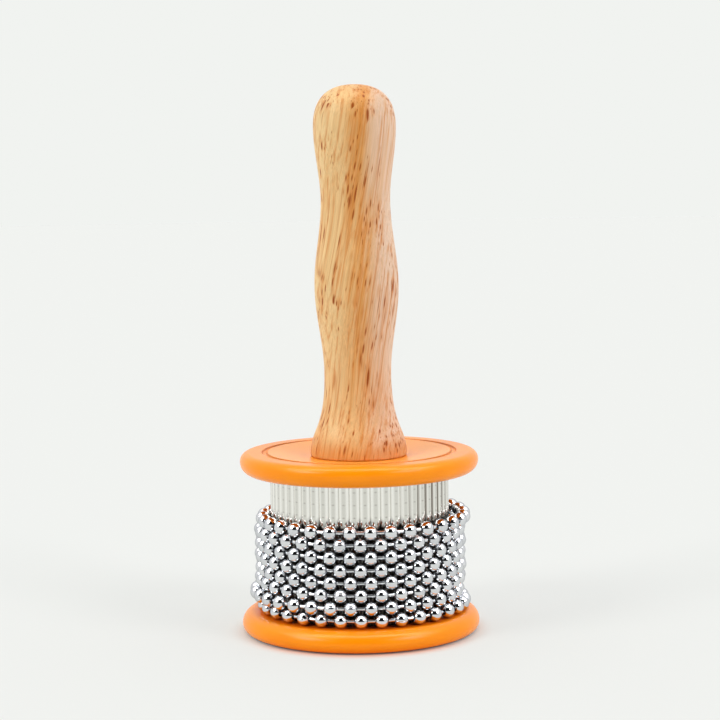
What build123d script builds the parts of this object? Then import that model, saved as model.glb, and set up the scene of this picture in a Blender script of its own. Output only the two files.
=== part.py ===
from build123d import *
from math import asin, ceil, cos, hypot, pi, radians, sin, sqrt
import os

# A cabasa: loops of steel ball chain lie round a fluted metal drum between two painted
# wooden flanges, and a turned wooden handle stands on top. Millimetres. +Z runs up the
# handle, -Y is the front, and the origin is the middle of the underside.

# Flanges: two discs of wood, whose rims are rounder towards the drum. The upper one is dished
flange_diameter = 88.0
flange_thickness = 7.8
outer_round = 3.2
inner_round = 4.4
rim_land = 0.1
groove_diameter = 69.8
groove_width = 2.2
groove_depth = 0.7
groove_land = 0.4
dish_depth = 1.7
seat_margin = 0.3

# Drum: a wooden core in a sleeve of fluted sheet metal
drum_diameter = 66.0
drum_length = 51.1
flute_count = 54
flute_depth = 0.7
sleeve_wall = 0.5
seam_gap = 0.3
core_fit = 0.05

# Handle: heights are above its foot, and drops are below its tip
handle_length = 135.9
shoulder_drop = 3.9
shoulder_diameter = 22.8
knob_drop = 15.2
knob_diameter = 30.2
waist_height = 93.7
waist_diameter = 25.4
belly_height = 62.7
belly_diameter = 30.9
neck_height = 30.2
neck_diameter = 24.6
flare_height = 11.7
flare_diameter = 29.8
base_diameter = 35.6
base_round = 0.8
tenon_diameter = 18.0
tenon_depth = 20.0
tenon_fit = 0.1
socket_gap = 0.5

# Centre screw: a pan-head wood screw and its washer, sunk into the underside
screw_diameter = 5.0
screw_length = 70.0
screw_tip = 6.0
screw_fit = 0.05
screw_play = 0.2
pilot_spare = 2.0
head_diameter = 9.5
head_height = 2.8
head_recess = 0.6
slot_width = 1.3
slot_length = 5.0
slot_depth = 1.6
washer_diameter = 14.0
washer_thickness = 1.2
counterbore_play = 0.5

# Ball chain: hollow balls on dumbbell links, in endless loops whose balls nest in one another
loop_count = 8
ball_diameter = 5.3
ball_wall = 0.4
link_diameter = 1.3
link_pitch = 7.25
link_head_thickness = 0.7
link_head_catch = 0.18
link_head_play = 0.09
hole_play = 0.15
drum_clearance = 0.25
floor_clearance = 0.05
ball_clearance = 0.05
nest_gap = 0.5
loop_spare = 6.0

# The way that each loop, from the top one down, hangs off the drum, in degrees from +X
bag_directions = (20, 95, 85, 92, 82, 95, 170, 28)

# Heights in the stack, from the underside up
drum_floor = flange_thickness
drum_top = drum_floor + drum_length
flange_top = drum_top + flange_thickness
handle_base = flange_top - dish_depth
handle_tip = handle_base + handle_length
tenon_end = drum_top - tenon_depth
screw_bearing = head_recess + head_height
counterbore_top = screw_bearing + washer_thickness
screw_end = screw_bearing + screw_length

up = (Align.CENTER, Align.CENTER, Align.MIN)


def upright(radius, bottom, top):
    """A cylinder on the axis between two heights."""
    return Pos(0, 0, bottom) * Cylinder(radius, top - bottom, align=up)


def turned(profile):
    """The solid turned from a closed profile, drawn as (radius, height)."""
    return revolve(Plane.XZ * make_face(profile), Axis.Z)


def flange_blank(bottom, lower_round, upper_round):
    """A disc with both of its rims rounded over, as far as its thickness has room."""
    room = min(1, flange_thickness / (lower_round + upper_round + rim_land))
    disc = upright(flange_diameter / 2, bottom, bottom + flange_thickness)
    disc = fillet(disc.edges().sort_by(Axis.Z)[0], lower_round * room)
    return fillet(disc.edges().sort_by(Axis.Z)[-1], upper_round * room)


def make_top_flange():
    """The upper disc: a hole for the handle's tenon, a dish round its foot and a turned groove."""
    hole = upright(tenon_diameter / 2 + tenon_fit, drum_top, flange_top)
    seat_radius = base_diameter / 2 + seat_margin
    dish_radius = groove_diameter / 2 - groove_width / 2 - groove_land
    dish = Pos(0, 0, handle_base) * Cone(seat_radius, dish_radius, dish_depth, align=up)
    cutter = (groove_width**2 / 4 + groove_depth**2) / (2 * groove_depth)
    groove = Pos(0, 0, flange_top + cutter - groove_depth) * Torus(groove_diameter / 2, cutter)
    return flange_blank(drum_top, inner_round, outer_round) - hole - dish - groove


def make_bottom_flange():
    """The lower disc: a screw hole, counterbored from below for the head and washer."""
    hole = upright(screw_diameter / 2 + screw_play, 0, drum_floor)
    counterbore = upright(washer_diameter / 2 + counterbore_play, 0, counterbore_top)
    return flange_blank(0, outer_round, inner_round) - hole - counterbore


def make_drum_core():
    """The wooden cylinder, with the tenon's socket above and the screw's bore below."""
    radius = drum_diameter / 2 - flute_depth - sleeve_wall - core_fit
    bore = upright(screw_diameter / 2 + screw_play, drum_floor, drum_top)
    socket = upright(tenon_diameter / 2 + tenon_fit, tenon_end - socket_gap, drum_top)
    return upright(radius, drum_floor, drum_top) - bore - socket


def fluted_outline(crest_radius):
    """A ring of arcs that bulge outwards, with a valley at the front and at the back."""
    valley_radius = crest_radius - flute_depth
    step = 2 * pi / flute_count
    arcs = []
    for flute in range(flute_count):
        start = flute * step - pi / 2
        points = []
        for radius, angle in (
            (valley_radius, start),
            (crest_radius, start + step / 2),
            (valley_radius, start + step),
        ):
            points.append((radius * cos(angle), radius * sin(angle)))
        arcs.append(Edge.make_three_point_arc(*points))
    return Wire(arcs)


def make_drum_sleeve():
    """Fluted sheet bent into a tube, whose two edges meet at a seam at the back."""
    outside = fluted_outline(drum_diameter / 2)
    inside = fluted_outline(drum_diameter / 2 - sleeve_wall)
    tube = extrude(Face(outside, [inside]), drum_length)
    seam = Box(seam_gap, drum_diameter, drum_length, align=(Align.CENTER, Align.MIN, Align.MIN))
    return Pos(0, 0, drum_floor) * (tube - seam)


def make_handle():
    """The turned grip, with a tenon below its foot and a pilot hole up the tenon."""
    tip = (0, handle_tip)
    shoulder = (shoulder_diameter / 2, handle_tip - shoulder_drop)
    knob = (knob_diameter / 2, handle_tip - knob_drop)
    waist = (waist_diameter / 2, handle_base + waist_height)
    belly = (belly_diameter / 2, handle_base + belly_height)
    neck = (neck_diameter / 2, handle_base + neck_height)
    flare = (flare_diameter / 2, handle_base + flare_height)
    foot = (base_diameter / 2, handle_base + base_round)
    sole = (base_diameter / 2 - base_round, handle_base)
    outwards, down = (1, 0), (0, -1)
    swell = Spline(tip, shoulder, knob, tangents=(outwards, down))
    for upper, lower in ((knob, waist), (waist, belly), (belly, neck)):
        swell += Spline(upper, lower, tangents=(down, down))
    swell += Spline(neck, flare, foot, tangents=(down, down))
    swell += JernArc(foot, down, base_round, -90)
    tenon = upright(tenon_diameter / 2, tenon_end, handle_base)
    pilot = upright(screw_diameter / 2 + screw_fit, tenon_end, screw_end + pilot_spare)
    return turned(swell + Polyline(sole, (0, handle_base), tip)) + tenon - pilot


def make_screw():
    """The wood screw, head down: a crowned head with a cross slot, a shank and a point."""
    rim = (head_diameter / 2, screw_bearing)
    crown = head_diameter**2 / (8 * head_height) + head_height / 2
    half_angle = asin(head_diameter / (2 * crown)) / 2
    middle = (crown * sin(half_angle), head_recess + crown * (1 - cos(half_angle)))
    bottom = (0, head_recess)
    head = turned(ThreePointArc(bottom, middle, rim) + Polyline(rim, (0, screw_bearing), bottom))
    shank = upright(screw_diameter / 2, screw_bearing, screw_end - screw_tip)
    point = Pos(0, 0, screw_end - screw_tip) * Cone(screw_diameter / 2, 0, screw_tip, align=up)
    slot = Pos(0, 0, head_recess) * Box(slot_length, slot_width, slot_depth, align=up)
    return head + shank + point - slot - Rot(0, 0, 90) * slot


def make_washer():
    """The washer between the screw's head and the counterbore's roof."""
    hole = upright(screw_diameter / 2 + screw_play, screw_bearing, counterbore_top)
    return upright(washer_diameter / 2, screw_bearing, counterbore_top) - hole


# A loop lies against the drum, apart from the side where its spare length hangs off
ball_radius = ball_diameter / 2
snug_radius = drum_diameter / 2 + drum_clearance + ball_radius
ball_count = ceil((2 * pi * snug_radius + loop_spare) / link_pitch)
spare_length = ball_count * link_pitch - 2 * pi * snug_radius
bag_share = 3 / 8  # the mean of the bag's curve over a full turn
bag_depth = spare_length / (2 * pi * bag_share)

# Each loop's balls lie over the gaps of the loop below
row_rise = sqrt((ball_diameter + nest_gap) ** 2 - (link_pitch / 2) ** 2)

# A link leans against its ball's axis by half of the turn from one link to the next
link_lean = link_pitch / (2 * snug_radius)
hole_radius = link_diameter / 2 + ball_radius * sin(link_lean) + hole_play
link_head_radius = hole_radius + link_head_catch
hollow_radius = ball_radius - ball_wall


def make_ball():
    """A hollow ball about the origin, with its two link holes along Z."""
    outer = sqrt(ball_radius**2 - hole_radius**2)
    inner = sqrt(hollow_radius**2 - hole_radius**2)
    skin = ThreePointArc((hole_radius, -outer), (ball_radius, 0), (hole_radius, outer))
    hollow = ThreePointArc((hole_radius, inner), (hollow_radius, 0), (hole_radius, -inner))
    upper_lip = Line((hole_radius, outer), (hole_radius, inner))
    lower_lip = Line((hole_radius, -inner), (hole_radius, -outer))
    return turned(skin + upper_lip + hollow + lower_lip)


def make_link():
    """A dumbbell along Z about the origin, whose heads bear inside two neighbouring balls."""
    reach = sqrt((hollow_radius - link_head_play) ** 2 - link_head_radius**2)
    shoulder = link_pitch / 2 - reach
    end = shoulder + link_head_thickness
    dome = (link_head_radius**2 + link_head_thickness**2) / (2 * link_head_thickness)
    half_angle = asin(link_head_radius / dome) / 2
    middle = (dome * sin(half_angle), end - dome * (1 - cos(half_angle)))
    rod_radius = link_diameter / 2
    edge = (link_head_radius, shoulder)
    rod = Polyline((0, 0), (rod_radius, 0), (rod_radius, shoulder), edge)
    head = ThreePointArc(edge, middle, (0, end))
    half = turned(rod + head + Line((0, end), (0, 0)))
    return half + mirror(half, Plane.XY)


def loop_path(bag_direction):
    """Points close together along a loop, once round from the front."""
    steps = 1440
    points = []
    for step in range(steps + 1):
        angle = 2 * pi * step / steps - pi / 2
        bag = bag_depth * ((1 + cos(angle - bag_direction)) / 2) ** 2
        radius = snug_radius + bag
        points.append((radius * cos(angle), radius * sin(angle)))
    return points


def ball_places(bag_direction, first):
    """Ball centres at equal steps along a loop; first is the share of a step before ball one."""
    path = loop_path(bag_direction)
    lengths = [hypot(b[0] - a[0], b[1] - a[1]) for a, b in zip(path, path[1:])]
    spacing = sum(lengths) / ball_count
    places = []
    walked = 0.0
    for (x, y), (next_x, next_y), length in zip(path, path[1:], lengths):
        target = (len(places) + first) * spacing
        if len(places) < ball_count and walked + length > target:
            share = (target - walked) / length
            places.append((x + share * (next_x - x), y + share * (next_y - y)))
        walked += length
    return places


def settle(places, height, below):
    """A loop's ball centres at a height, lifted where a ball of the loop below is in the way."""
    reach = ball_diameter + ball_clearance
    centres = []
    for x, y in places:
        rest = height
        for below_x, below_y, below_z in below:
            apart = hypot(x - below_x, y - below_y)
            if apart < reach:
                rest = max(rest, below_z + sqrt(reach**2 - apart**2))
        centres.append(Vector(x, y, rest))
    return centres


def along(middle, start, end):
    """The place at a point of a loop whose Z runs from start towards end."""
    return Plane(middle, x_dir=(0, 0, 1), z_dir=end - start).location


def string_up(centres, ball, link):
    """The balls and the links of one loop."""
    balls = []
    links = []
    for index, here in enumerate(centres):
        before = centres[index - 1]
        after = centres[(index + 1) % len(centres)]
        balls.append(along(here, before, after) * ball)
        links.append(along((here + after) * 0.5, here, after) * link)
    return Compound(balls), Compound(links)


parts = {
    "handle": make_handle(),
    "top_flange": make_top_flange(),
    "bottom_flange": make_bottom_flange(),
    "drum_core": make_drum_core(),
    "drum_sleeve": make_drum_sleeve(),
    "centre_screw": make_screw(),
    "screw_washer": make_washer(),
}
one_ball = make_ball()
one_link = make_link()
loop = []
for row in range(loop_count, 0, -1):
    height = drum_floor + floor_clearance + ball_radius + (loop_count - row) * row_rise
    direction = radians(bag_directions[(row - 1) % len(bag_directions)])
    loop = settle(ball_places(direction, first=row % 2 / 2), height, below=loop)
    parts[f"chain_{row}_balls"], parts[f"chain_{row}_links"] = string_up(loop, one_ball, one_link)

os.makedirs("parts", exist_ok=True)
for node, shape in parts.items():
    export_step(shape, f"parts/{node}.step")
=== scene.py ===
import math

import bmesh
import bpy
import numpy as np
from mathutils import Matrix, Vector


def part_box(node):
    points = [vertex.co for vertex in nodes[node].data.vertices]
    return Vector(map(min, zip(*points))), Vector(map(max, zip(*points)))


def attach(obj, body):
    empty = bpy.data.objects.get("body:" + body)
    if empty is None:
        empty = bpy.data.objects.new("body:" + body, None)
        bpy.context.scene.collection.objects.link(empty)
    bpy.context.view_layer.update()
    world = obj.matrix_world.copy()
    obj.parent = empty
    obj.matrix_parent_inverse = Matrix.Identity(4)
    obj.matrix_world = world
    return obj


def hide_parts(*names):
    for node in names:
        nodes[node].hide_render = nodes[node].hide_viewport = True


# A cabasa on a white table: ball chain round a fluted metal drum, two enamelled flanges
# and a turned handle. Metres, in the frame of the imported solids: +Z is up, -Y the front.
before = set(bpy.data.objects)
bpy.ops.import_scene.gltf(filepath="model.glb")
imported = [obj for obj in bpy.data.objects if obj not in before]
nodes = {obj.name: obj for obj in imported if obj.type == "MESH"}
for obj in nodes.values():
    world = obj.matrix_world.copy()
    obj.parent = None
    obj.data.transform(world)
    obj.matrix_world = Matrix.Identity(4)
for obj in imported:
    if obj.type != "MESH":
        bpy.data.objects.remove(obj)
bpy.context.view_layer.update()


# Drum core
# A plain turned cylinder of light hardwood inside the sleeve. The handle's tenon is glued into
# it, and the screw passes up through it. Bare wood, seen only through the sleeve's seam.
core_pale = (0.78, 0.58, 0.36, 1)
core_rose = (0.74, 0.52, 0.34, 1)
core_honey = (0.69, 0.45, 0.24, 1)
core_streak = (0.55, 0.30, 0.13, 1)
core_vessel = (0.30, 0.13, 0.05, 1)
core_foot = (0.0, 0.01)
# The grain of both woods, in millimetres: twice across it, then along it.
millimetres = (1000, 1000, 1000)
grain_lean = math.radians(9)
grain_start = (14, 0, 0)
wander_size = (24, 24, 60)
wander_reach = (5, 5, 0)
ring_size = (2.6, 14, 150)
fine_ring_size = (0.8, 2.4, 55)
fibre_size = (0.35, 0.35, 9)
# The darker middle band and the paler left and rosier right sides, along X: partly grain and partly painted
# light, shade where the front faces the opening and the two lamps' tints.
middle_aside = 1.5
middle_wander = 20.0
middle_edges = (6.0, 22.0)
side_tint_edges = (-0.003, 0.009)
band_levels = (0.45, 0.7)
band_strength = 0.4
streak_levels = (0.48, 0.68)
streak_strength = 0.65
fibre_levels = (0.25, 0.75)
fibre_shades = (0.88, 1.08)
# Vessels come in patches and in three kinds: spacing across and along, widest share of it, strength.
patch_size = (7, 7, 22)
patch_levels = (0.36, 0.54)
vessel_kinds = ((1.7, 14, 0.36, 1.0), (1.05, 8, 0.36, 0.9), (0.75, 22, 0.26, 0.7))
vessel_levels = (0.1, 0.9)
thinnest_vessel = 0.001
vessel_core = 0.45
halo_width = 2.1
halo_strength = 0.6
foot_stain = 0.75
fibre_height = 0.25
grain_bump = 0.35
grain_depth = 0.00012


def add_node(tree, kind, settings=None, inputs=None):
    """Adds a node and gives its sockets, by name or number, values or links from other sockets."""
    made = tree.nodes.new(kind)
    for name, value in (settings or {}).items():
        setattr(made, name, value)
    for name, value in (inputs or {}).items():
        if isinstance(value, bpy.types.NodeSocket):
            tree.links.new(value, made.inputs[name])
        else:
            made.inputs[name].default_value = value
    return made


def mix_colours(tree, share, first, second, blend="MIX"):
    """The colour that lies a share of the way from the first to the second."""
    settings = {"data_type": "RGBA", "blend_type": blend}
    return add_node(tree, "ShaderNodeMix", settings, {0: share, 6: first, 7: second}).outputs[2]


def do_maths(tree, operation, first, second=0.0, third=0.0):
    """One sum on up to three values."""
    inputs = {0: first, 1: second, 2: third}
    return add_node(tree, "ShaderNodeMath", {"operation": operation}, inputs).outputs[0]


def rescale(tree, value, low, high, to_low=0.0, to_high=1.0):
    """A smooth step from one range of values onto another."""
    inputs = {0: value, 1: low, 2: high, 3: to_low, 4: to_high}
    return add_node(tree, "ShaderNodeMapRange", {"interpolation_type": "SMOOTHSTEP"}, inputs).outputs[0]


def stretch(tree, vector, *units):
    """Coordinates counted in the given units along X, Y and Z."""
    factors = tuple(1 / unit for unit in units)
    inputs = {0: vector, 1: factors}
    return add_node(tree, "ShaderNodeVectorMath", {"operation": "MULTIPLY"}, inputs).outputs[0]


def noise(tree, vector, detail=2.0, roughness=0.5):
    """Soft noise with about one swelling to a unit."""
    inputs = {"Vector": vector, "Scale": 1.0, "Detail": detail, "Roughness": roughness}
    return add_node(tree, "ShaderNodeTexNoise", None, inputs).outputs["Fac"]


def new_group(name, inputs, outputs):
    """A shader group with its sockets, its input node and its output node."""
    group = bpy.data.node_groups.new(name, "ShaderNodeTree")
    for in_out, sockets in (("INPUT", inputs), ("OUTPUT", outputs)):
        for socket, kind in sockets.items():
            group.interface.new_socket(socket, in_out=in_out, socket_type=f"NodeSocket{kind}")
    return group, group.nodes.new("NodeGroupInput"), group.nodes.new("NodeGroupOutput")


def make_wood_grain():
    """Grain of a pale hardwood with coarse vessels, running nearly straight up the piece."""
    colours = {"Pale": "Color", "Rose": "Color", "Honey": "Color", "Streak": "Color", "Vessel": "Color"}
    inputs = {**colours, "Stain": "Float"}
    group, given, made = new_group("wood_grain", inputs, {"Color": "Color", "Height": "Float"})
    place = add_node(group, "ShaderNodeTexCoord").outputs["Object"]
    inputs = {"Vector": place, "Location": grain_start, "Rotation": (0, -grain_lean, 0), "Scale": millimetres}
    grain = add_node(group, "ShaderNodeMapping", None, inputs).outputs[0]

    inputs = {"Vector": stretch(group, grain, *wander_size), "Scale": 1.0, "Detail": 1.0}
    wander = add_node(group, "ShaderNodeTexNoise", None, inputs).outputs["Color"]
    inputs = {0: wander, 1: wander_reach, 2: grain}
    grain = add_node(group, "ShaderNodeVectorMath", {"operation": "MULTIPLY_ADD"}, inputs).outputs[0]
    sideways = add_node(group, "ShaderNodeSeparateXYZ", None, {0: place}).outputs[0]

    rings = noise(group, stretch(group, grain, *ring_size), 2.0)
    fine_rings = noise(group, stretch(group, grain, *fine_ring_size), 2.0, 0.6)
    fibres = noise(group, stretch(group, grain, *fibre_size), 3.0, 0.65)
    # Partly painted light: paler to the left, rosier to the right and darker in a band down the middle that
    # wanders with the rings; partly grain, partly the lamps' tints and painted shade.
    heart_and_shade = do_maths(group, "MULTIPLY_ADD", sideways, millimetres[0], -middle_aside)
    heart_and_shade = do_maths(group, "MULTIPLY_ADD", rings, middle_wander, do_maths(group, "ABSOLUTE", heart_and_shade))
    heart_and_shade = rescale(group, heart_and_shade, *middle_edges, 1.0, 0.0)
    side_tints = rescale(group, sideways, *side_tint_edges)
    colour = mix_colours(group, side_tints, given.outputs["Pale"], given.outputs["Rose"])
    bands = do_maths(group, "MAXIMUM", heart_and_shade, rescale(group, rings, *band_levels, 0.0, band_strength))
    bands = do_maths(group, "MAXIMUM", bands, given.outputs["Stain"])
    colour = mix_colours(group, bands, colour, given.outputs["Honey"])
    streaks = rescale(group, fine_rings, *streak_levels, 0.0, streak_strength)
    colour = mix_colours(group, streaks, colour, given.outputs["Streak"])
    shade = rescale(group, fibres, *fibre_levels, *fibre_shades)
    tone = add_node(group, "ShaderNodeCombineColor", None, {0: shade, 1: shade, 2: shade}).outputs[0]
    colour = mix_colours(group, 1.0, colour, tone, "MULTIPLY")

    vessels, stains = 0.0, 0.0
    patches = rescale(group, noise(group, stretch(group, grain, *patch_size), 1.0), *patch_levels)
    for wide, long, widest, strength in vessel_kinds:
        inputs = {"Vector": stretch(group, grain, wide, wide, long), "Scale": 1.0}
        cells = add_node(group, "ShaderNodeTexVoronoi", None, inputs)
        chance = add_node(group, "ShaderNodeSeparateColor", None, {0: cells.outputs["Color"]}).outputs[0]
        chance = do_maths(group, "MULTIPLY", chance, patches)
        width = rescale(group, chance, *vessel_levels, thinnest_vessel, widest)
        middle = do_maths(group, "MULTIPLY", width, vessel_core)
        dash = rescale(group, cells.outputs["Distance"], middle, width, strength, 0.0)
        vessels = do_maths(group, "MAXIMUM", vessels, dash)
        around = do_maths(group, "MULTIPLY", width, halo_width)
        stain = rescale(group, cells.outputs["Distance"], middle, around, halo_strength * strength, 0.0)
        stains = do_maths(group, "MAXIMUM", stains, stain)
    colour = mix_colours(group, stains, colour, given.outputs["Streak"])
    colour = mix_colours(group, vessels, colour, given.outputs["Vessel"])
    height = do_maths(group, "MULTIPLY", vessels, -1.0)
    height = do_maths(group, "MULTIPLY_ADD", fibres, fibre_height, height)
    group.links.new(colour, made.inputs["Color"])
    group.links.new(height, made.inputs["Height"])
    return group


wood_grain = make_wood_grain()


def new_material(name, **finish):
    """A material with one Principled shader; finish sets its plain sockets, _ standing for a space."""
    material = bpy.data.materials.new(name)
    material.use_nodes = True
    shader = material.node_tree.nodes["Principled BSDF"]
    for socket, value in finish.items():
        shader.inputs[socket.replace("_", " ")].default_value = value
    return material, material.node_tree, shader


def add_bump(tree, shader, height, strength, distance):
    """Raises the surface by a height, counted in that distance in metres."""
    inputs = {"Height": height, "Strength": strength, "Distance": distance}
    bump = add_node(tree, "ShaderNodeBump", None, inputs)
    tree.links.new(bump.outputs[0], shader.inputs["Normal"])


def make_wood(name, pale, rose, honey, streak, vessel, foot, **finish):
    """Wood in five tones under the given finish, stained between the two heights of its foot."""
    material, tree, shader = new_material(name, **finish)
    inputs = {"Pale": pale, "Rose": rose, "Honey": honey, "Streak": streak, "Vessel": vessel}
    grain = add_node(tree, "ShaderNodeGroup", {"node_tree": wood_grain}, inputs)
    tree.links.new(grain.outputs["Color"], shader.inputs["Base Color"])
    place = add_node(tree, "ShaderNodeTexCoord").outputs["Object"]
    height = add_node(tree, "ShaderNodeSeparateXYZ", None, {0: place}).outputs[2]
    tree.links.new(rescale(tree, height, *foot, foot_stain, 0.0), grain.inputs["Stain"])
    add_bump(tree, shader, grain.outputs["Height"], grain_bump, grain_depth)
    return material


def finish_node(node, material):
    """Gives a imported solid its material."""
    nodes[node].data.materials.clear()
    nodes[node].data.materials.append(material)


core_wood = make_wood(
    "core_wood",
    core_pale,
    core_rose,
    core_honey,
    core_streak,
    core_vessel,
    core_foot,
    Roughness=0.7,
)
finish_node("drum_core", core_wood)


# Drum sleeve
# One strip of bright fluted sheet steel, bent round the core so that its edges meet at a seam
# at the back. A row of small nicks runs up each rib. Painted shade makes the rib crests greyer
# and darkens the valleys, the nicks, the right-hand flanks and the lower part where the chain lies.
sleeve_colour = (0.93, 0.92, 0.87, 1)
# Painted shade on the sleeve: greyer crests, darker valleys, nicks and right-hand flanks, near black under
# the chain.
crest_shade_colour = (0.70, 0.69, 0.64, 1)
sleeve_shade_colour = (0.20, 0.17, 0.14, 1)
chain_shade_colour = (0.07, 0.062, 0.055, 1)
sleeve_low, sleeve_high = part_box("drum_sleeve")
crest_radius = sleeve_high.x
rib_count = 54
rib_depth = 0.0007
rib_turn = 2 * math.pi / rib_count
sheet_thickness = 0.0005
seam_width = 0.0003
nick_rows = 11
nick_margin = 0.0028
nick_half_width = 0.0008
nick_half_height = 0.0004
nick_depth = 0.00003
nick_columns = 7
flank_columns = 5
sleeve_crease = 35
nick_pitch = (sleeve_high.z - sleeve_low.z - 2 * nick_margin) / (nick_rows - 1)
# Where painted shade lies: shares of a rib's turn from its crest, and distances along X and Z.
crest_edges = (0.08, 0.34)
flank_edges = (0.24, 0.46)
valley_edges = (0.38, 0.5)
valley_shade = 0.3
nick_shade = 0.4
nick_shade_edges = (0.1, 1.0)
shaded_side_edges = (0.010, 0.027)
chain_shade_edges = (-0.0045, 0.0003)
chain_shade_slope = -0.004
chain_shade_levels = (0.2, 0.6)
least_chain_shade = 0.75
sleeve_mark_size = (0.004, 1, 0.0003)
mark_levels = (0.3, 0.75)
mark_depth = 0.00002


def rib_radius(turn):
    """The sheet's outer radius at angles from the middle of a rib: round ribs, sharp valleys."""
    valley = crest_radius - rib_depth
    centre = (crest_radius**2 - valley**2) / (2 * (crest_radius - valley * math.cos(rib_turn / 2)))
    bulge = crest_radius - centre
    return centre * np.cos(turn) + np.sqrt(bulge**2 - (centre * np.sin(turn)) ** 2)


def new_piece(name, points, faces, material, sharp_degrees):
    """A smooth-shaded mesh with outward faces and creases where it bends sharply."""
    mesh = bpy.data.meshes.new(name)
    mesh.from_pydata(np.asarray(points).tolist(), [], faces)
    shaped = bmesh.new()
    shaped.from_mesh(mesh)
    bmesh.ops.recalc_face_normals(shaped, faces=shaped.faces)
    shaped.to_mesh(mesh)
    shaped.free()
    mesh.shade_smooth()
    mesh.set_sharp_from_angle(angle=math.radians(sharp_degrees))
    mesh.materials.append(material)
    piece = bpy.data.objects.new(name, mesh)
    bpy.context.scene.collection.objects.link(piece)
    return piece


def make_sleeve_mesh():
    """Points and faces of the sheet, close together where the nicks are."""
    spread = np.linspace(-1, 1, nick_columns)
    nick_turn = nick_half_width / crest_radius
    flank = np.linspace(nick_turn, rib_turn / 2, flank_columns)[1:]
    across = np.concatenate((-flank[::-1], spread * nick_turn, flank[:-1]))
    turns = np.concatenate((np.tile(across, rib_count), [-rib_turn / 2]))
    middles = math.pi / 2 + rib_turn * (np.repeat(np.arange(rib_count), len(across)) + 0.5)
    angles = turns + np.concatenate((middles, [math.pi / 2 + rib_turn * (rib_count + 0.5)]))
    angles[0] += seam_width / 2 / crest_radius
    angles[-1] -= seam_width / 2 / crest_radius

    nick_heights = np.linspace(sleeve_low.z + nick_margin, sleeve_high.z - nick_margin, nick_rows)
    plain = (nick_heights[1:] + nick_heights[:-1]) / 2
    heights = np.concatenate([middle + spread * nick_half_height for middle in nick_heights])
    heights = np.sort(np.concatenate((heights, plain, [sleeve_low.z, sleeve_high.z])))
    above = heights - nick_heights[np.abs(heights[:, None] - nick_heights).argmin(1)]
    reach = np.hypot(turns[:, None] * crest_radius / nick_half_width, above[None] / nick_half_height)
    dents = nick_depth * (0.5 + 0.5 * np.cos(np.pi * np.minimum(reach, 1)))

    outer = rib_radius(turns)[:, None] - dents
    inner = np.repeat(rib_radius(turns)[:, None] - sheet_thickness, 2, axis=1)
    radii = np.concatenate((outer, inner), axis=1)
    levels = np.concatenate((heights, [sleeve_high.z, sleeve_low.z]))
    columns, rows = radii.shape
    points = np.empty((columns, rows, 3))
    points[..., 0] = radii * np.cos(angles)[:, None]
    points[..., 1] = radii * np.sin(angles)[:, None]
    points[..., 2] = levels
    here = np.arange(columns - 1)[:, None] * rows + np.arange(rows)
    after = np.arange(columns - 1)[:, None] * rows + np.roll(np.arange(rows), -1)
    faces = np.stack((here, here + rows, after + rows, after), axis=-1).reshape(-1, 4).tolist()
    faces.append(list(range(rows)))
    faces.append(list(range((columns - 1) * rows, columns * rows)))
    return points.reshape(-1, 3), faces


def make_polish_marks():
    """Rubbing marks in bright metal, one to a unit of Vector, from Smooth to Rough."""
    inputs = {"Vector": "Vector", "Smooth": "Float", "Rough": "Float"}
    group, given, made = new_group("polish_marks", inputs, {"Roughness": "Float", "Height": "Float"})
    marks = noise(group, given.outputs["Vector"], 4.0, 0.6)
    spread = rescale(group, marks, *mark_levels, given.outputs["Smooth"], given.outputs["Rough"])
    group.links.new(spread, made.inputs["Roughness"])
    group.links.new(marks, made.inputs["Height"])
    return group


polish_marks = make_polish_marks()


def add_polish(tree, shader, vector, smooth, rough, strength):
    """Puts rubbing marks into a metal's roughness and bump, and gives their height."""
    inputs = {"Vector": vector, "Smooth": smooth, "Rough": rough}
    marks = add_node(tree, "ShaderNodeGroup", {"node_tree": polish_marks}, inputs)
    tree.links.new(marks.outputs["Roughness"], shader.inputs["Roughness"])
    add_bump(tree, shader, marks.outputs["Height"], strength, mark_depth)
    return marks.outputs["Height"]


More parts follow.
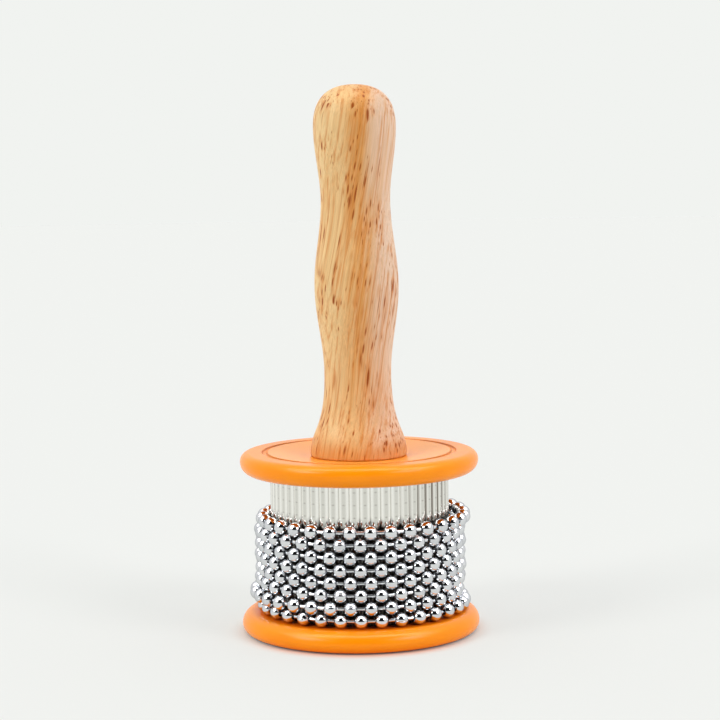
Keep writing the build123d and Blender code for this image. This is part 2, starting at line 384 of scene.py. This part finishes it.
def make_sleeve_steel():
    """Bright rolled steel with painted shade: greyer crests, darker valleys, nicks and right-hand flanks, and
    near black where the chain lies at rest.
    """
    material, tree, shader = new_material("sleeve_steel", Metallic=1.0)
    place = add_node(tree, "ShaderNodeTexCoord").outputs["Object"]
    x, y, z = add_node(tree, "ShaderNodeSeparateXYZ", None, {0: place}).outputs
    ribs = do_maths(tree, "DIVIDE", do_maths(tree, "ARCTAN2", y, x), rib_turn)
    round_drum = do_maths(tree, "MULTIPLY", ribs, rib_turn * crest_radius)
    unrolled = add_node(tree, "ShaderNodeCombineXYZ", None, {0: round_drum, 2: z}).outputs[0]
    unrolled = stretch(tree, unrolled, *sleeve_mark_size)
    marks = add_polish(tree, shader, unrolled, smooth=0.10, rough=0.22, strength=0.05)
    across = do_maths(tree, "FRACT", do_maths(tree, "ADD", ribs, 0.5))
    from_crest = do_maths(tree, "ABSOLUTE", do_maths(tree, "SUBTRACT", across, 0.5))
    # Painted shade: the rib crests greyer than their flanks.
    colour = mix_colours(tree, rescale(tree, from_crest, *crest_edges), crest_shade_colour, sleeve_colour)
    # Painted shade in the valleys, and on the flanks on the right-hand side.
    valley = rescale(tree, from_crest, *valley_edges, 0.0, valley_shade)
    shaded_side = rescale(tree, x, *shaded_side_edges)
    flanks = do_maths(tree, "MULTIPLY", rescale(tree, from_crest, *flank_edges), shaded_side)
    shade_mask = do_maths(tree, "MAXIMUM", valley, flanks)
    # Painted shade in the nicks.
    rows = do_maths(tree, "DIVIDE", do_maths(tree, "SUBTRACT", z, sleeve_low.z + nick_margin), nick_pitch)
    above = do_maths(tree, "SUBTRACT", do_maths(tree, "FRACT", do_maths(tree, "ADD", rows, 0.5)), 0.5)
    aside = do_maths(tree, "MULTIPLY", from_crest, rib_turn * crest_radius / nick_half_width)
    above = do_maths(tree, "MULTIPLY", above, nick_pitch / nick_half_height)
    above = do_maths(tree, "MULTIPLY", above, above)
    reach = do_maths(tree, "SQRT", do_maths(tree, "MULTIPLY_ADD", aside, aside, above))
    shade_mask = do_maths(tree, "MAXIMUM", shade_mask, rescale(tree, reach, *nick_shade_edges, nick_shade, 0.0))
    colour = mix_colours(tree, shade_mask, colour, sleeve_shade_colour)
    # Painted shade: the sheet near black under the loops, where the balls shade it.
    loop_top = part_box("chain_1_balls")[1].z
    smear = do_maths(tree, "MULTIPLY_ADD", from_crest, chain_shade_slope, z)
    covered = rescale(tree, smear, *(loop_top + edge for edge in chain_shade_edges), 1.0, 0.0)
    chain_shade = do_maths(tree, "MULTIPLY", covered, rescale(tree, marks, *chain_shade_levels, least_chain_shade, 1.0))
    colour = mix_colours(tree, chain_shade, colour, chain_shade_colour)
    tree.links.new(colour, shader.inputs["Base Color"])
    return material


sleeve = new_piece("fluted_sleeve", *make_sleeve_mesh(), make_sleeve_steel(), sleeve_crease)
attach(sleeve, "drum")
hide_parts("drum_sleeve")


# Flanges
# Two turned discs of wood with rounded rims, sprayed with orange enamel. The lower one is held
# by the centre screw, and the upper one is caught between the core and the handle's foot. The
# enamel carries painted shade on the two faces that the chain lies between and along the groove's
# edges, a painted contact shadow under the base, and a painted pale sheen on the dished panel.
enamel_colour = (1.0, 0.30, 0.001, 1)
enamel_deep = (0.99, 0.28, 0.001, 1)
# Painted light in the enamel: a pale sheen on the panel, shade at the groove's edges and near the chain, a
# contact shadow.
enamel_panel_sheen = (0.96, 0.35, 0.035, 1)
enamel_groove_shade = (0.60, 0.17, 0.002, 1)
enamel_contact_shadow = (0.10, 0.008, 0.001, 1)
enamel_chain_shade = (0.76, 0.10, 0.001, 1)
groove_radius = 0.0349
groove_half_width = 0.0011
panel_depths = (0.0034, 0.00255)
groove_shade_middle = 0.75 * groove_half_width
groove_shade_edges = (0.1 * groove_half_width, 0.45 * groove_half_width)
groove_shade_depths = (0.0012, 0.0009)
contact_shadow_heights = (0.0003, 0.0010)
contact_shadow_strength = 0.9
chain_shade_radii = (0.0370, 0.0410)
chain_shade_depths = (0.0006, 0.0012)
chain_shade_strength = 0.8
enamel_roughness = 0.26
groove_roughness = 0.5
cloud_size = 0.012
cloud_levels = (0.35, 0.7)
spray_size = 0.0007
spray_bump = 0.12
spray_depth = 0.00008


def make_enamel():
    """Satin orange enamel with painted light: shade at the groove's edges and where the chain lies, a contact
    shadow where it stands, a pale sheen on the panel.
    """
    finish = {"Coat_Weight": 0.2, "Coat_Roughness": 0.3, "Specular_IOR_Level": 0.12}
    material, tree, shader = new_material("orange_enamel", **finish)
    place = add_node(tree, "ShaderNodeTexCoord").outputs["Object"]
    clouds = noise(tree, stretch(tree, place, cloud_size, cloud_size, cloud_size), 3.0)
    clouds = rescale(tree, clouds, *cloud_levels)
    colour = mix_colours(tree, clouds, enamel_colour, enamel_deep)
    x, y, z = add_node(tree, "ShaderNodeSeparateXYZ", None, {0: place}).outputs
    flat = add_node(tree, "ShaderNodeCombineXYZ", None, {0: x, 1: y}).outputs[0]
    radius = add_node(tree, "ShaderNodeVectorMath", {"operation": "LENGTH"}, {0: flat}).outputs["Value"]
    from_groove = do_maths(tree, "ABSOLUTE", do_maths(tree, "SUBTRACT", radius, groove_radius))
    from_edge = do_maths(tree, "ABSOLUTE", do_maths(tree, "SUBTRACT", from_groove, groove_shade_middle))
    edge = rescale(tree, from_edge, *groove_shade_edges, 1.0, 0.0)
    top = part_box("top_flange")[1].z
    inside = rescale(tree, radius, groove_radius - groove_half_width, groove_radius, 1.0, 0.0)
    on_top = rescale(tree, z, *(top - depth for depth in panel_depths))
    panel = do_maths(tree, "MULTIPLY", inside, on_top)
    # Painted reflection: the dished panel paler, as a sheen of the white room.
    colour = mix_colours(tree, panel, colour, enamel_panel_sheen)
    # Painted shade along the groove's edges; the finish is rougher there too.
    groove_shade = do_maths(tree, "MULTIPLY", edge, rescale(tree, z, *(top - depth for depth in groove_shade_depths)))
    colour = mix_colours(tree, groove_shade, colour, enamel_groove_shade)
    # Painted contact shadow on the base's underside and lowest edge.
    contact_shadow = rescale(tree, z, *contact_shadow_heights, contact_shadow_strength, 0.0)
    colour = mix_colours(tree, contact_shadow, colour, enamel_contact_shadow)
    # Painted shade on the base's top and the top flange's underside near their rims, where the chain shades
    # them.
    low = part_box("bottom_flange")[1].z
    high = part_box("top_flange")[0].z
    shallow, deep = chain_shade_depths
    over_low = rescale(tree, z, low - deep, low - shallow)
    under_high = rescale(tree, z, high + shallow, high + deep, 1.0, 0.0)
    chain_shade = rescale(tree, radius, *chain_shade_radii, chain_shade_strength, 0.0)
    chain_shade = do_maths(tree, "MULTIPLY", chain_shade, do_maths(tree, "MULTIPLY", over_low, under_high))
    colour = mix_colours(tree, chain_shade, colour, enamel_chain_shade)
    tree.links.new(colour, shader.inputs["Base Color"])
    roughness = rescale(tree, groove_shade, 0.0, 1.0, enamel_roughness, groove_roughness)
    tree.links.new(roughness, shader.inputs["Roughness"])
    spray = noise(tree, stretch(tree, place, spray_size, spray_size, spray_size), 2.0)
    add_bump(tree, shader, spray, spray_bump, spray_depth)
    return material


enamel = make_enamel()
finish_node("bottom_flange", enamel)
finish_node("top_flange", enamel)


# Handle
# One turned and sanded piece of rubberwood with a clear satin lacquer: a knob, a waist, a belly,
# a neck and a flared foot, whose tenon goes down through the top flange into the core. Its foot
# is stained darker.
# Pale on the left, Rose on the right and Honey down the middle also stand in part for painted light.
handle_pale = (0.81, 0.57, 0.28, 1)
handle_rose = (0.77, 0.56, 0.41, 1)
handle_honey = (0.66, 0.30, 0.075, 1)
handle_streak = (0.60, 0.20, 0.03, 1)
handle_vessel = (0.30, 0.06, 0.003, 1)
stain_height = 0.011
foot_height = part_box("top_flange")[1].z
handle_foot = (foot_height, foot_height + stain_height)

handle_wood = make_wood(
    "handle_wood",
    handle_pale,
    handle_rose,
    handle_honey,
    handle_streak,
    handle_vessel,
    handle_foot,
    Roughness=0.5,
    Specular_IOR_Level=0.2,
    Coat_Weight=0.05,
    Coat_Roughness=0.35,
)
finish_node("handle", handle_wood)


# Centre screw and washer
# A zinc-plated wood screw and its washer, sunk into the underside, that pull the bottom flange
# and the core up against the handle.
zinc_colour = (0.62, 0.63, 0.64, 1)
zinc_mark_size = (0.0006, 0.0006, 0.0006)


def make_zinc():
    """Zinc plate with a fine tumbled surface."""
    material, tree, shader = new_material("screw_zinc", Metallic=1.0, Base_Color=zinc_colour)
    place = add_node(tree, "ShaderNodeTexCoord").outputs["Object"]
    place = stretch(tree, place, *zinc_mark_size)
    add_polish(tree, shader, place, smooth=0.22, rough=0.42, strength=0.15)
    return material


zinc = make_zinc()
finish_node("centre_screw", zinc)
finish_node("screw_washer", zinc)


# Ball chain
# Eight endless loops of chromed steel ball chain. Each ball is rolled from strip, which leaves a
# seam from hole to hole, round the heads of two dumbbell links whose rods show between the balls.
chrome_colour = (0.77, 0.78, 0.80, 1)
smoky_colour = (0.65, 0.665, 0.69, 1)
edge_tint = (0.55, 0.56, 0.58, 1)
ball_low, ball_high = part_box("chain_8_balls")
ball_radius = (ball_high.z - ball_low.z) / 2
ball_wall = 0.0004
hole_radius = 0.00106
lip_radius = 0.00010
ball_seam_width = 0.00016
ball_seam_depth = 0.00005
ball_facets = 32
ball_rows = 17
hollow_rows = 7
lip_roundings = ((0.3, 0.3), (0.0, 1.2))
rod_radius = 0.00065
head_radius = 0.00124
head_length = 0.0007
head_inset = 0.35 * ball_radius
head_tip = 0.4 * head_radius
rod_facets = 16
loop_count = 8
chain_mark_size = (0.0009, 0.0009, 0.0009)
haze_levels = (0.25, 0.65)
least_haze = 0.4
chain_crease = 40
chain_seed = 11


def turn_profile(profile, angles, closed):
    """Points and faces of a profile of radius and height, turned about Z at the given angles."""
    profile = np.asarray(profile)
    rows, columns = len(profile), len(angles)
    points = np.empty((columns, rows, 3))
    points[..., 0] = np.cos(angles)[:, None] * profile[:, 0]
    points[..., 1] = np.sin(angles)[:, None] * profile[:, 0]
    points[..., 2] = profile[:, 1]
    faces = []
    for column in range(columns):
        here, beside = column * rows, (column + 1) % columns * rows
        for row in range(rows if closed else rows - 1):
            above = (row + 1) % rows
            faces.append((here + row, beside + row, beside + above, here + above))
    if not closed:
        faces.append([column * rows for column in range(columns)])
        faces.append([column * rows + rows - 1 for column in range(columns)])
    return points.reshape(-1, 3), faces


def make_ball():
    """A hollow ball about the origin with its holes along Z and a pressed seam up one side."""
    start = math.asin((hole_radius + lip_radius) / ball_radius)
    outside = [
        (ball_radius * math.sin(turn), ball_radius * math.cos(turn))
        for turn in np.linspace(start, math.pi - start, ball_rows)
    ]
    rim = ball_radius * math.cos(start)
    lip = [(hole_radius + out * lip_radius, rim - down * lip_radius) for out, down in lip_roundings]
    hollow = ball_radius - ball_wall
    start = math.asin(hole_radius / hollow)
    inside = [
        (hollow * math.sin(turn), -hollow * math.cos(turn))
        for turn in np.linspace(start, math.pi - start, hollow_rows)
    ]
    below = [(radius, -height) for radius, height in lip]
    half_seam = ball_seam_width / 2 / ball_radius
    angles = np.arange(ball_facets) * 2 * math.pi / ball_facets
    angles = np.concatenate(([0, half_seam], angles[1:], [-half_seam]))
    points, faces = turn_profile(outside + below + inside + lip[::-1], angles, closed=True)
    points[1 : len(outside) - 1] *= 1 - ball_seam_depth / ball_radius
    return points, faces


def make_link(pitch):
    """A dumbbell along Z about the origin, with its heads inside two balls that far apart."""
    end = pitch / 2 - head_inset
    half = [(head_tip, end), (head_radius, end - head_length / 2)]
    half += [(head_radius, end - head_length), (rod_radius, end - head_length)]
    angles = np.arange(rod_facets) * 2 * math.pi / rod_facets
    profile = half + [(radius, -height) for radius, height in half[::-1]]
    return turn_profile(profile, angles, closed=False)


def read_ball_centres(node):
    """The middles of a loop's balls, in order round the drum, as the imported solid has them."""
    mesh = nodes[node].data
    points = np.empty(len(mesh.vertices) * 3, np.float32)
    mesh.vertices.foreach_get("co", points)
    points = points.reshape(-1, 3)
    angles = np.arctan2(points[:, 1], points[:, 0])
    order = np.argsort(angles)
    points, angles = points[order], angles[order]
    gaps = np.diff(angles, append=angles[0] + 2 * math.pi)
    clear_gap = ball_radius / 2 / crest_radius
    starts = np.flatnonzero(gaps > clear_gap) + 1
    cuts = (starts[:-1] - starts[-1]) % len(points)
    balls = np.split(np.roll(points, -starts[-1], axis=0), cuts)
    return np.array([(ball.min(0) + ball.max(0)) / 2 for ball in balls])


def string_up(shape, places, directions, spins):
    """Copies of a shape at places along a loop, with Z along each direction and spun about it."""
    points, faces = shape
    up = np.array((0.0, 0.0, 1.0))
    all_points, all_faces = [], []
    for number, (place, direction, spin) in enumerate(zip(places, directions, spins)):
        direction = direction / np.linalg.norm(direction)
        first = math.cos(spin) * up + math.sin(spin) * np.cross(direction, up)
        axes = np.array((first, np.cross(direction, first), direction))
        all_points.append(points @ axes + place)
        all_faces += [[corner + number * len(points) for corner in face] for face in faces]
    return np.concatenate(all_points), all_faces


def make_chrome():
    """Chrome plate whose haze differs a little from ball to ball."""
    material, tree, shader = new_material("chain_chrome", Metallic=1.0, Specular_Tint=edge_tint)
    place = add_node(tree, "ShaderNodeTexCoord").outputs["Object"]
    place = stretch(tree, place, *chain_mark_size)
    marks = add_polish(tree, shader, place, smooth=0.05, rough=0.11, strength=0.03)
    tone = add_node(tree, "ShaderNodeAttribute", {"attribute_name": "ball_tone"}).outputs["Fac"]
    haze = do_maths(tree, "MULTIPLY", tone, rescale(tree, marks, *haze_levels, least_haze, 1.0))
    tree.links.new(mix_colours(tree, haze, chrome_colour, smoky_colour), shader.inputs["Base Color"])
    return material


def hang_on_loop(piece, row, kind, tones):
    """Lets a loop's balls or links ride on it, each with its own tone."""
    points_each = len(piece.data.vertices) // len(tones)
    tone = piece.data.attributes.new("ball_tone", "FLOAT", "POINT")
    tone.data.foreach_set("value", np.repeat(tones, points_each).astype(np.float32))
    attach(piece, f"chain_{row}")
    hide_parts(f"chain_{row}_{kind}")


chrome = make_chrome()
ball = make_ball()
draws = np.random.default_rng(chain_seed)
for row in range(1, loop_count + 1):
    centres = read_ball_centres(f"chain_{row}_balls")
    ahead = np.roll(centres, -1, axis=0)
    link = make_link(np.linalg.norm(ahead[0] - centres[0]))
    spins = draws.uniform(0, 2 * math.pi, len(centres))
    shells = string_up(ball, centres, ahead - np.roll(centres, 1, axis=0), spins)
    rods = string_up(link, (centres + ahead) / 2, ahead - centres, np.zeros(len(centres)))
    tones = draws.uniform(0, 1, len(centres))
    shells = new_piece(f"chain_{row}_ball_shells", *shells, chrome, chain_crease)
    rods = new_piece(f"chain_{row}_link_rods", *rods, chrome, chain_crease)
    hang_on_loop(shells, row, "balls", tones)
    hang_on_loop(rods, row, "links", tones)


# Table
# A wide plain white table top that the instrument stands on. Away from the base it is evened out
# towards the white of the room, and just in front of the base it carries a painted orange bounce
# light from the enamel.
table_colour = (0.70, 0.712, 0.697, 1)
table_white = (0.879, 0.896, 0.871, 1)
# Painted orange bounce light from the enamel, on the table in front of the base.
table_bounce_light = (0.78, 0.34, 0.17, 1)
table_evenness = 0.6
table_evenness_near = 0.1
evenness_inset = 0.003
bounce_inset = 0.002
near_width = 0.006
bounce_front = 0.35
bounce_strength = 0.9
table_radius = 6.0
table_corners = 96
table_drop = 0.00005
table_crease = 30


def make_table_top():
    """A flat round sheet of matt white, with a painted orange bounce light from the enamel in front of the
    base.
    """
    corners = np.arange(table_corners) * 2 * math.pi / table_corners
    rim = np.stack((table_radius * np.cos(corners), table_radius * np.sin(corners)), axis=1)
    points = np.column_stack((rim, np.full(len(rim), -table_drop)))
    material, tree, shader = new_material("table_white", Roughness=0.7, Specular_IOR_Level=0.0)
    path = add_node(tree, "ShaderNodeLightPath").outputs
    seen = do_maths(tree, "MAXIMUM", path["Is Camera Ray"], path["Is Glossy Ray"])
    seen = do_maths(tree, "MAXIMUM", seen, path["Is Transmission Ray"])
    white = add_node(tree, "ShaderNodeEmission", None, {"Color": table_white, "Strength": 1.0}).outputs[0]
    place = add_node(tree, "ShaderNodeTexCoord").outputs["Object"]
    radius = add_node(tree, "ShaderNodeVectorMath", {"operation": "LENGTH"}, {0: place}).outputs["Value"]
    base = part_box("bottom_flange")[1].x
    levels = (table_evenness_near, table_evenness)
    evenness = rescale(tree, radius, base - evenness_inset, base + near_width, *levels)
    share = do_maths(tree, "MULTIPLY", seen, evenness)
    # Painted bounce light: the enamel's orange on the table just in front of the base.
    y = add_node(tree, "ShaderNodeSeparateXYZ", None, {0: place}).outputs[1]
    in_front = rescale(tree, y, -base, -bounce_front * base, 1.0, 0.0)
    bounce = rescale(tree, radius, base - bounce_inset, base + near_width, bounce_strength, 0.0)
    bounce = do_maths(tree, "MULTIPLY", bounce, in_front)
    tree.links.new(mix_colours(tree, bounce, table_colour, table_bounce_light), shader.inputs["Base Color"])
    shown = add_node(tree, "ShaderNodeMixShader", None, {0: share, 1: shader.outputs[0], 2: white}).outputs[0]
    tree.links.new(shown, tree.nodes["Material Output"].inputs["Surface"])
    return new_piece("table_top", points, [list(range(len(rim)))], material, table_crease)


make_table_top()


# Light
# A white room with a dark opening behind the camera, two broad soft lamps in front of the
# instrument, left and right, and a softbox overhead that only shows in what is glossy. The camera
# sees plain white where it looks past the table.
wall_white = (0.879, 0.896, 0.871, 1)
wall_level = 1.1
ceiling_level = 1.45
ceiling_edges = (0.2, 0.95)
opening_level = 0.015
opening_half_width = 0.74
opening_sill = 0.12
opening_height = 0.74
opening_squareness = 4.0
opening_edges = (0.75, 1.15)
front_edges = (-0.25, 0.0)
sill_fade = 0.06
softbox_level = 12.0
softbox_half_length = 0.85
softbox_half_width = 0.2
softbox_ahead = 0.11
softbox_edges = (0.8, 1.0)
softbox_heights = (0.3, 0.5)
well_outside = 2.0
lamp_height = math.radians(34)
lamp_spread = math.radians(23)


def make_studio():
    """The world: walls that fade up to a brighter ceiling, an opening towards -Y, the softbox."""
    world = bpy.data.worlds.new("studio")
    bpy.context.scene.world = world
    world.use_nodes = True
    tree = world.node_tree
    tree.nodes.clear()
    way = add_node(tree, "ShaderNodeTexCoord").outputs["Generated"]
    x, y, z = add_node(tree, "ShaderNodeSeparateXYZ", None, {0: way}).outputs
    level = rescale(tree, z, *ceiling_edges, wall_level, ceiling_level)
    aside = do_maths(tree, "DIVIDE", x, opening_half_width)
    above = do_maths(tree, "DIVIDE", do_maths(tree, "SUBTRACT", z, opening_sill), opening_height)
    aside = do_maths(tree, "POWER", do_maths(tree, "ABSOLUTE", aside), opening_squareness)
    above = do_maths(tree, "POWER", do_maths(tree, "ABSOLUTE", above), opening_squareness)
    from_middle = do_maths(tree, "ADD", aside, above)
    behind = rescale(tree, y, *front_edges, 0.0, well_outside)
    below = rescale(tree, z, opening_sill - sill_fade, opening_sill, well_outside, 0.0)
    outside = do_maths(tree, "ADD", from_middle, do_maths(tree, "MAXIMUM", behind, below))
    opening = rescale(tree, outside, *opening_edges, opening_level, 1.0)
    strength = do_maths(tree, "MULTIPLY", level, opening)
    path = add_node(tree, "ShaderNodeLightPath").outputs
    along = do_maths(tree, "DIVIDE", do_maths(tree, "ABSOLUTE", x), softbox_half_length)
    across = do_maths(tree, "ABSOLUTE", do_maths(tree, "ADD", y, softbox_ahead))
    across = do_maths(tree, "DIVIDE", across, softbox_half_width)
    too_low = rescale(tree, z, *softbox_heights, well_outside, 0.0)
    from_box = do_maths(tree, "MAXIMUM", do_maths(tree, "MAXIMUM", along, across), too_low)
    softbox = rescale(tree, from_box, *softbox_edges, softbox_level, 0.0)
    strength = do_maths(tree, "MULTIPLY_ADD", softbox, path["Is Glossy Ray"], strength)
    room = add_node(tree, "ShaderNodeBackground", None, {"Strength": strength}).outputs[0]
    white = add_node(tree, "ShaderNodeBackground", None, {"Color": wall_white, "Strength": 1.0}).outputs[0]
    seen = path["Is Camera Ray"]
    shown = add_node(tree, "ShaderNodeMixShader", None, {0: seen, 1: room, 2: white}).outputs[0]
    add_node(tree, "ShaderNodeOutputWorld", None, {0: shown})


def add_lamp(name, aside, colour, strength):
    """A soft lamp far off in front, aside of the camera by that many degrees, to the right if over 0."""
    turn = math.radians(aside)
    lamp = bpy.data.lights.new(name, "SUN")
    lamp.color = colour
    lamp.energy = strength
    lamp.angle = lamp_spread
    towards = Vector((math.sin(turn), -math.cos(turn), math.tan(lamp_height)))
    placed = bpy.data.objects.new(name, lamp)
    placed.rotation_mode = "QUATERNION"
    placed.rotation_quaternion = (-towards).to_track_quat("-Z", "Y")
    bpy.context.scene.collection.objects.link(placed)


make_studio()
add_lamp("left_lamp", aside=-57, colour=(1.0, 1.0, 0.96), strength=1.25)
add_lamp("right_lamp", aside=52, colour=(1.0, 0.97, 0.98), strength=1.2)


# Camera
# A long lens a little above the instrument and square to its front, held a touch crooked.
sensor_width = 36
lens_length = 100
camera_distance = 0.733
camera_height = 0.170
camera_pitch = math.radians(5.44)
camera_yaw = math.radians(-0.069)
camera_roll = math.radians(-0.8)

camera = bpy.data.objects.new("camera", bpy.data.cameras.new("camera"))
camera.data.sensor_width = sensor_width
camera.data.lens = lens_length
level = Matrix.Rotation(math.pi / 2 - camera_pitch, 4, "X")
aim = Matrix.Rotation(camera_yaw, 4, "Z") @ level @ Matrix.Rotation(camera_roll, 4, "Z")
camera.matrix_world = Matrix.Translation((0, -camera_distance, camera_height)) @ aim
bpy.context.scene.collection.objects.link(camera)
bpy.context.scene.camera = camera
bpy.context.scene.view_settings.view_transform = "Standard"
